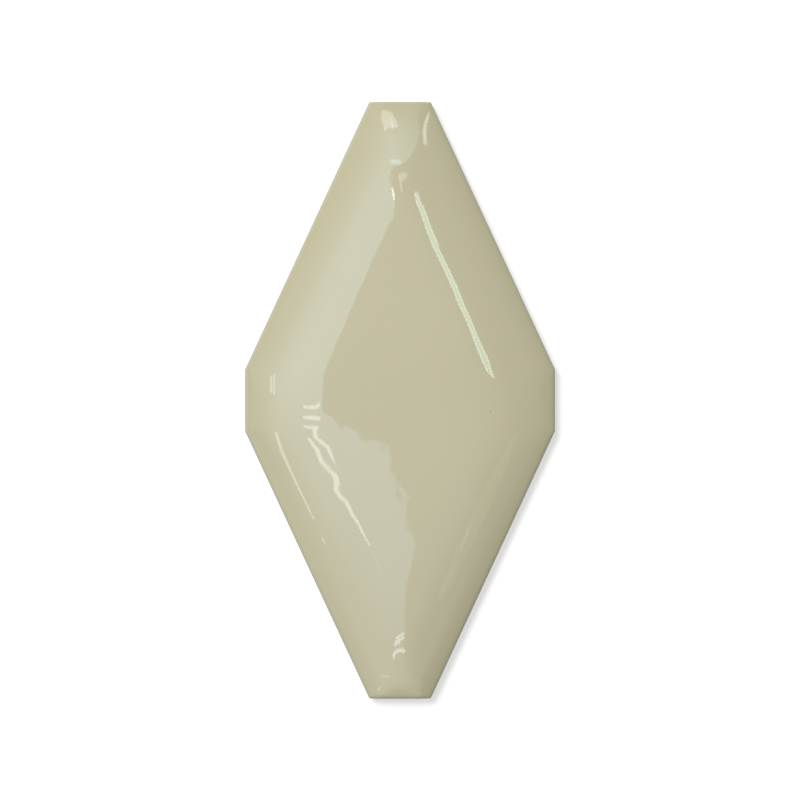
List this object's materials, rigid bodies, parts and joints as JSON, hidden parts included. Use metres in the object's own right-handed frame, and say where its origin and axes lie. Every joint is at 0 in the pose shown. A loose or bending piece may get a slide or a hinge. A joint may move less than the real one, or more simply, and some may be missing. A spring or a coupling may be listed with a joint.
{
  "type": "cushioned diamond mosaic tile",
  "caption": "Elongated diamond wall tile with its tips cut off square, a glossy cushioned face with rolled shoulders and soft hips, upright sides and a grooved back for adhesive.",
  "frame": {"origin": "middle of the tile's back, on the plane it rests on", "axes": "+Z out of the glazed face, +Y along the long diagonal, +X along the short diagonal"},
  "size_m": [0.103, 0.198, 0.0105],
  "materials": {
    "glazed_body": "glossy opaque greyish-beige glaze on the face and arris, pale unglazed body on the sides and back"
  },
  "bodies": {
    "root": {"tile": "glazed_body"}
  },
  "joints": []
}
